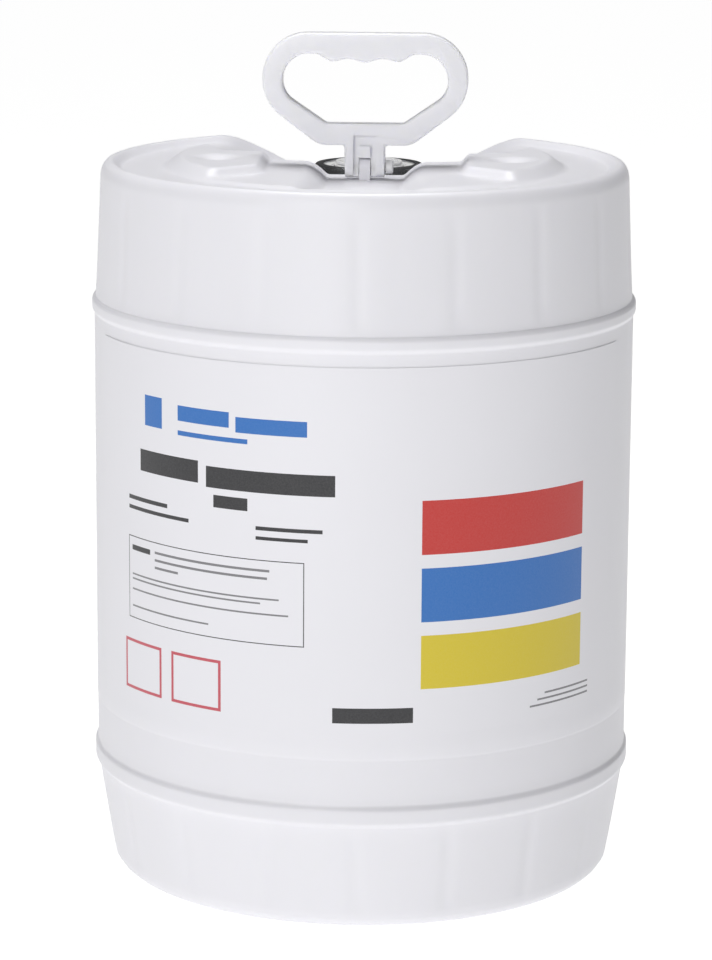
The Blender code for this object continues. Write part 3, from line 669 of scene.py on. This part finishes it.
class DRUM_OT_shell(bpy.types.Operator):
    """Model the moulded shell with its head, neck and hinge tab"""
    bl_idname = "drum.shell"
    bl_label = "Shell"

    def execute(self, context):
        sizes = context.scene.drum_sizes
        shell = turned("shell", shell_profile(), BODY_STEPS)
        carve_shell(shell, sizes.groove_depth, sizes.grooves)
        lip = NECK_TOP
        bead = [(0.0, POCKET_FLOOR - 0.0015), (NECK_RADIUS + 0.0012, POCKET_FLOOR - 0.0015),
                (NECK_RADIUS + 0.0004, POCKET_FLOOR + 0.0008), (NECK_RADIUS, POCKET_FLOOR + 0.0020),
                (NECK_RADIUS, lip - BEAD_HEIGHT - 0.0010), (BEAD_RADIUS - 0.0005, lip - BEAD_HEIGHT),
                (BEAD_RADIUS, lip - BEAD_HEIGHT + 0.0008), (BEAD_RADIUS, lip - 0.0010),
                (BEAD_RADIUS - 0.0010, lip), (0.0, lip)]
        combine(shell, turned("neck", bead, centre=(0.0, NECK_Y)), "UNION")
        tab = [(0.0046 * math.cos(math.radians(a)), PIVOT_Z + 0.0046 * math.sin(math.radians(a)))
               for a in range(0, 181, 9)]
        tab += [(-0.0046, TROUGH_FLOOR - 0.0012), (0.0046, TROUGH_FLOOR - 0.0012)]
        combine(shell, slab("tab", tab, 0.0058, "X"), "UNION")
        combine(shell, lining(), "DIFFERENCE")
        bore = [(0.0, POCKET_FLOOR - 0.02), (NECK_BORE, POCKET_FLOOR - 0.02), (NECK_BORE, lip + 0.01),
                (0.0, lip + 0.01)]
        combine(shell, turned("bore", bore, centre=(0.0, NECK_Y)), "DIFFERENCE")
        finish = polyethylene("shell_polyethylene", context.scene.drum_colours.shell)
        dress(shell, finish, "drum", ("drum_shell",), 40)
        return {"FINISHED"}


class DRUM_OT_film(bpy.types.Operator):
    """Model the printed film round the front of the panel"""
    bl_idname = "drum.film"
    bl_label = "Printed film"

    def execute(self, context):
        low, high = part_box("label_film")
        outline = [(FILM_INNER, low[2]), (FILM_INNER, high[2]), (FILM_OUTER, high[2]), (FILM_OUTER, low[2])]
        start = -math.pi / 2 + FILM_REACH
        points = [(r * math.cos(start), r * math.sin(start), z) for r, z in outline]
        film = draw_chain("film", points)
        bpy.ops.mesh.select_all(action="SELECT")
        bpy.ops.mesh.edge_face_add()
        bpy.ops.mesh.spin(steps=135, angle=2 * FILM_REACH, center=(0.0, 0.0, 0.0), axis=(0.0, 0.0, 1.0))
        bpy.ops.mesh.select_all(action="SELECT")
        bpy.ops.mesh.remove_doubles(threshold=0.000005)
        bpy.ops.object.mode_set(mode="OBJECT")
        close_ends(film)
        dress(film, printed_film("printed_film", context.scene.drum_colours.shell), "drum",
              ("label_film",))
        return {"FINISHED"}


def close_ends(piece):
    """Fill open ends and point every face outwards."""
    shape = bmesh.new()
    shape.from_mesh(piece.data)
    bmesh.ops.holes_fill(shape, edges=[edge for edge in shape.edges if edge.is_boundary])
    bmesh.ops.recalc_face_normals(shape, faces=shape.faces)
    if shape.calc_volume(signed=True) < 0:
        bmesh.ops.reverse_faces(shape, faces=shape.faces)
    shape.to_mesh(piece.data)
    shape.free()


# ---------------------------------------------------------------------------- handle

def finger_drop(x):
    """Depth of the top bar at x, with rests for the fingers."""
    cusp = 0.0175
    reach = abs(x)
    if reach <= cusp:
        return BAR_TOP + 0.0045 - 0.0017 * math.sin(math.pi * x / cusp) ** 2 - 0.0005 * reach / cusp
    share = min((reach - cusp) / 0.0095, 1.0)
    return BAR_TOP + 0.0040 * (1 - share * share * (3 - 2 * share))


def lift(outline):
    return [(x, z + PIVOT_Z) for x, z in outline]


def handle_outline():
    side = [(HANDLE_HALF, HANDLE_TOP, 0.024), (HANDLE_HALF, HANDLE_KNEE, 0.024),
            (0.0245, HANDLE_BOTTOM, 0.014),
            (STEM_HALF, HANDLE_BOTTOM, 0.0), (STEM_HALF, 0.0, 0.0)]
    return lift(rounded(side + [(-x, z, r) for x, z, r in reversed(side)], 14))


def hand_hole():
    half = HANDLE_HALF - 0.0108
    ceiling = HANDLE_TOP - BAR_TOP
    floor = HANDLE_BOTTOM + 0.0114
    side = [(half, ceiling, 0.0140), (half, floor + 0.0158, 0.0120), (0.0205, floor, 0.0040)]
    ring = rounded(side + [(-x, z, r) for x, z, r in reversed(side)], 12)
    fingers = [(-0.026 + 0.001 * step, HANDLE_TOP - finger_drop(-0.026 + 0.001 * step)) for step in range(53)]
    return lift(fingers + ring)


class DRUM_OT_handle(bpy.types.Operator):
    """Model the carry handle with its finger rests, cored stem and fork"""
    bl_idname = "drum.handle"
    bl_label = "Carry handle"

    def execute(self, context):
        thick = HANDLE_THICKNESS
        handle = slab("handle", handle_outline(), thick, "Y")
        combine(handle, slab("hand_hole", hand_hole(), 3 * thick, "Y"), "DIFFERENCE")
        apply_modifier(handle, "BEVEL", width=context.scene.drum_sizes.handle_round, segments=4,
                       limit_method="ANGLE", angle_limit=math.radians(50))
        heel_radius = thick / 2 - 0.0002
        heel = [(heel_radius * math.cos(math.radians(a)), heel_radius * math.sin(math.radians(a)) + PIVOT_Z)
                for a in range(0, 360, 8)]
        combine(handle, slab("heel", heel, 2 * STEM_HALF - 0.0006, "X"), "UNION")
        rib = 0.0029
        core = [(-0.0061, -0.010), (-0.0061, 0.0171), (0.0061, 0.0171), (0.0061, -0.010), (rib, -0.010),
                (rib, 0.0115), (-rib, 0.0115), (-rib, -0.010)]
        combine(handle, slab("core", lift(core), 0.0060, "Y", -thick / 2), "DIFFERENCE")
        slot = [(-0.0033, -0.02), (0.0033, -0.02), (0.0033, 0.0054), (-0.0033, 0.0054)]
        combine(handle, slab("slot", lift(slot), 2 * thick, "Y"), "DIFFERENCE")
        hole = [(0.0025 * math.cos(math.radians(a)), PIVOT_Z + 0.0025 * math.sin(math.radians(a)))
                for a in range(0, 360, 12)]
        combine(handle, slab("hole", hole, 0.04, "X"), "DIFFERENCE")
        finish = polyethylene("natural_polyethylene", context.scene.drum_colours.handle, 0.36, 0.45, 0.5)
        dress(handle, finish, "handle", ("carry_handle",))
        pin_finish = polyethylene("pin_plastic", context.scene.drum_colours.closure, 0.34)
        repaint("handle_pin", pin_finish)
        return {"FINISHED"}


# ---------------------------------------------------------------------------- closure

def repaint(node, finish):
    """Give a kept CAD node its finish."""
    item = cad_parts[node]
    for material_slot in item.material_slots:
        material_slot.material = finish.material
    if not item.material_slots:
        item.data.materials.append(finish.material)


def at_lip(profile):
    return [(radius, NECK_TOP + height) for radius, height in profile]


class DRUM_OT_ring(bpy.types.Operator):
    """Model the rolled crimp ring and give it its zinc finish"""
    bl_idname = "drum.ring"
    bl_label = "Crimp ring"

    def execute(self, context):
        top = 0.0020
        outside = [(0.0249, top)] + arc((0.0259, top + 0.0002), 0.0010, 180, 90, 6)
        outside += [(0.0285, top + 0.0009)] + arc((0.0284, top - 0.0004), 0.0013, 75, 5, 6)
        outside += [(0.0305, 0.0004), (0.0316, -0.0010), (0.0328, -0.0022)]
        outside += [(0.0333, -0.0034), (0.0331, -0.0048), (0.0328, -0.0058)]
        inner = [(0.0321, -0.0058), (0.0324, -0.0036), (0.0304, -0.0009), (0.0287, 0.0012), (0.0279, top)]
        profile = at_lip(outside + inner + outside[:1])
        ring = turned("ring", profile, ROUND_STEPS, (0.0, NECK_Y))
        finish = zinc_plate("zinc_plate", context.scene.drum_colours.zinc)
        dress(ring, finish, "drum", ("crimp_ring",))
        return {"FINISHED"}


class DRUM_OT_spout(bpy.types.Operator):
    """Model the threaded nozzle and its folding bellows"""
    bl_idname = "drum.spout"
    bl_label = "Spout"

    def execute(self, context):
        finish = polyethylene("spout_polyethylene", context.scene.drum_colours.closure, 0.36, 0.2)
        foot_top = -NOZZLE_DROP + 0.0014
        profile = [(NOZZLE_FOOT, -NOZZLE_DROP), (NOZZLE_FOOT, foot_top), (NOZZLE_RADIUS, foot_top)]
        for height in (-0.0085, -0.0050):
            profile += [(NOZZLE_RADIUS, height - 0.0008), (NOZZLE_RADIUS + 0.0005, height - 0.0004),
                        (NOZZLE_RADIUS + 0.0007, height), (NOZZLE_RADIUS + 0.0005, height + 0.0004),
                        (NOZZLE_RADIUS, height + 0.0008)]
        profile += [(NOZZLE_RADIUS, -0.0018), (NOZZLE_RADIUS - 0.0005, -0.0012),
                    (NOZZLE_BORE + 0.0004, -0.0012), (NOZZLE_BORE, -0.0016),
                    (NOZZLE_BORE, -NOZZLE_DROP), (NOZZLE_FOOT, -NOZZLE_DROP)]
        nozzle = turned("nozzle", at_lip(profile), ROUND_STEPS, (0.0, NECK_Y))
        dress(nozzle, finish, "spout", ("spout_nozzle",))
        top, foot = 0.0203, NOZZLE_FOOT + 0.0003
        low = -NOZZLE_DROP + 0.0012
        outer = []
        inner = []
        folds = 24
        for step in range(folds + 1):
            share = step / folds
            ripple = 0.00015 * math.sin(share * math.pi * 10)
            radius = top + (foot + 0.0009 - top) * share + ripple
            height = 0.0014 + (low - 0.0014) * share
            outer.append((radius, height))
            inner.append((radius - 0.0009, height))
        profile = at_lip(outer + inner[::-1] + outer[:1])
        bellows = turned("bellows", profile, ROUND_STEPS, (0.0, NECK_Y))
        dress(bellows, finish, None, ("spout_bellows",))
        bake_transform(bellows)
        for node in ("spout_flange", "tear_out_seal"):
            repaint(node, finish)
        return {"FINISHED"}


class DRUM_OT_cap(bpy.types.Operator):
    """Model the screw cap with its two pull bails"""
    bl_idname = "drum.cap"
    bl_label = "Cap and bails"

    def execute(self, context):
        finish = polyethylene("cap_polyethylene", context.scene.drum_colours.closure, 0.34, 0.15)
        lid = CAP_TOP - 0.0016
        profile = [(0.0, CAP_TOP), (CAP_RIM - 0.0006, CAP_TOP)]
        profile += arc((CAP_RIM - 0.0005, CAP_TOP - 0.0005), 0.0005, 75, 0, 4)
        profile += [(CAP_RIM, lid), (CAP_RIM - 0.0004, lid - 0.0002), (CAP_OUTER, lid - 0.0010),
                    (CAP_OUTER - 0.0003, -CAP_SKIRT), (0.0159, -CAP_SKIRT), (0.0159, lid), (0.0, lid)]
        cap = turned("cap", at_lip(profile), ROUND_STEPS, (0.0, NECK_Y))
        inboard = math.sqrt((BAIL_OUTER - BAIL_WIDTH) ** 2 - 0.0032 ** 2) - 0.0003
        for side in (-1, 1):
            ear = [(side * inboard, NECK_Y - 0.0032), (side * (inboard - 0.0022), NECK_Y - 0.0032),
                   (side * (inboard - 0.0022), NECK_Y + 0.0032), (side * inboard, NECK_Y + 0.0032)]
            tall = 0.0003 + BAIL_THICKNESS + 0.0005
            block = slab("ear", ear, tall, "Z", NECK_TOP + CAP_TOP - 0.0005 + tall / 2)
            combine(cap, block, "UNION")
        dress(cap, finish, "cap", ("screw_cap",))
        foam = polyethylene("liner_foam", (0.86, 0.86, 0.83), 0.75, 0.0)
        repaint("cap_liner", foam)
        bail_finish = polyethylene("bail_polyethylene", context.scene.drum_colours.closure, 0.32, 0.15)
        height = NECK_TOP + CAP_TOP + 0.0003 + BAIL_THICKNESS / 2
        for side, name in ((1, "rear"), (-1, "front")):
            outer = []
            inner = []
            for step in range(49):
                angle = math.pi * step / 48
                for points, radius in ((outer, BAIL_OUTER), (inner, BAIL_OUTER - BAIL_WIDTH)):
                    reach = max(radius * math.sin(angle), BAIL_SPLIT)
                    points.append((radius * math.cos(angle), NECK_Y + side * reach))
            bail = slab("bail_" + name, outer + inner[::-1], BAIL_THICKNESS, "Z", height)
            apply_modifier(bail, "BEVEL", width=0.0003, segments=2, limit_method="ANGLE",
                           angle_limit=math.radians(50))
            dress(bail, bail_finish, "bail_" + name, ("pull_bail_" + name,))
        return {"FINISHED"}


# ---------------------------------------------------------------------------- stage

def area_light(name, place, size, power, colour=(1.0, 1.0, 1.0)):
    start_clean()
    bpy.ops.object.light_add(type="AREA", location=place)
    light = bpy.context.object
    light.name = name
    light.data.size = size
    light.data.energy = power
    light.data.color = colour
    aim = -light.location
    aim.z += 0.22
    light.rotation_euler = aim.to_track_quat("-Z", "Y").to_euler()


class DRUM_OT_stage(bpy.types.Operator):
    """Set up the floor, the lights and the camera"""
    bl_idname = "drum.stage"
    bl_label = "Stage"

    def execute(self, context):
        start_clean()
        bpy.ops.mesh.primitive_plane_add(size=FLOOR_SIZE, location=(0.0, 0.0, -0.0005))
        floor = bpy.context.object
        floor.name = "floor"
        finish = Finish("pale_floor")
        finish.put("Base Color", finish.mix(finish.noise(3.0), (0.19, 0.19, 0.19, 1), (0.21, 0.21, 0.21, 1)))
        finish.put("Roughness", 0.9)
        finish.put("Emission Color", (1.0, 1.0, 1.0, 1.0))
        finish.put("Emission Strength", 0.97)
        floor.data.materials.append(finish.material)
        world = bpy.data.worlds.new("studio")
        world.use_nodes = True
        world.node_tree.nodes["Background"].inputs["Color"].default_value = (1.0, 1.0, 1.0, 1.0)
        world.node_tree.nodes["Background"].inputs["Strength"].default_value = 0.06
        context.scene.world = world
        area_light("key", (-0.75, -2.45, 1.25), 1.5, 33.0)
        area_light("rim", (1.9, 0.5, 0.7), 0.6, 0.5)
        area_light("top", (-0.1, 0.3, 2.2), 1.0, 31.0)
        across, along = math.sin(CAMERA_AZIMUTH), math.cos(CAMERA_AZIMUTH)
        place = (CAMERA_DISTANCE * across + CAMERA_OFFSET * along,
                 -CAMERA_DISTANCE * along + CAMERA_OFFSET * across, CAMERA_HEIGHT)
        bpy.ops.object.camera_add(location=place)
        camera = bpy.context.object
        ahead = math.cos(CAMERA_TILT)
        forward = Vector((-across * ahead, along * ahead, -math.sin(CAMERA_TILT)))
        level = Vector((along, across, 0.0))
        upward = level.cross(forward)
        right = level * math.cos(CAMERA_ROLL) + upward * math.sin(CAMERA_ROLL)
        above = right.cross(forward)
        camera.rotation_euler = Matrix((right, above, -forward)).transposed().to_euler()
        camera.data.lens = CAMERA_LENS
        camera.data.sensor_width = 36.0
        camera.data.clip_start = 0.01
        camera.data.clip_end = 100.0
        context.scene.camera = camera
        context.scene.view_settings.view_transform = "Standard"
        return {"FINISHED"}


class DRUM_PT_panel(bpy.types.Panel):
    """Sizes, colours and steps of the drum"""
    bl_idname = "DRUM_PT_panel"
    bl_label = "Tight-head drum"
    bl_space_type = "VIEW_3D"
    bl_region_type = "UI"
    bl_category = "Drum"

    def draw(self, context):
        for group in (context.scene.drum_sizes, context.scene.drum_colours):
            for name in group.__annotations__:
                self.layout.prop(group, name)
        for operator in OPERATORS:
            self.layout.operator(operator.bl_idname)


OPERATORS = (DRUM_OT_shell, DRUM_OT_film, DRUM_OT_handle, DRUM_OT_ring, DRUM_OT_spout, DRUM_OT_cap,
             DRUM_OT_stage)
CLASSES = (DrumSizes, DrumColours) + OPERATORS + (DRUM_PT_panel,)


def register():
    for item in CLASSES:
        bpy.utils.register_class(item)
    bpy.types.Scene.drum_sizes = bpy.props.PointerProperty(type=DrumSizes)
    bpy.types.Scene.drum_colours = bpy.props.PointerProperty(type=DrumColours)


def unregister():
    del bpy.types.Scene.drum_colours
    del bpy.types.Scene.drum_sizes
    for item in reversed(CLASSES):
        bpy.utils.unregister_class(item)


def main():
    register()
    bpy.ops.drum.shell()
    bpy.ops.drum.film()
    bpy.ops.drum.handle()
    bpy.ops.drum.ring()
    bpy.ops.drum.spout()
    bpy.ops.drum.cap()
    bpy.ops.drum.stage()


if __name__ == "__main__":
    main()
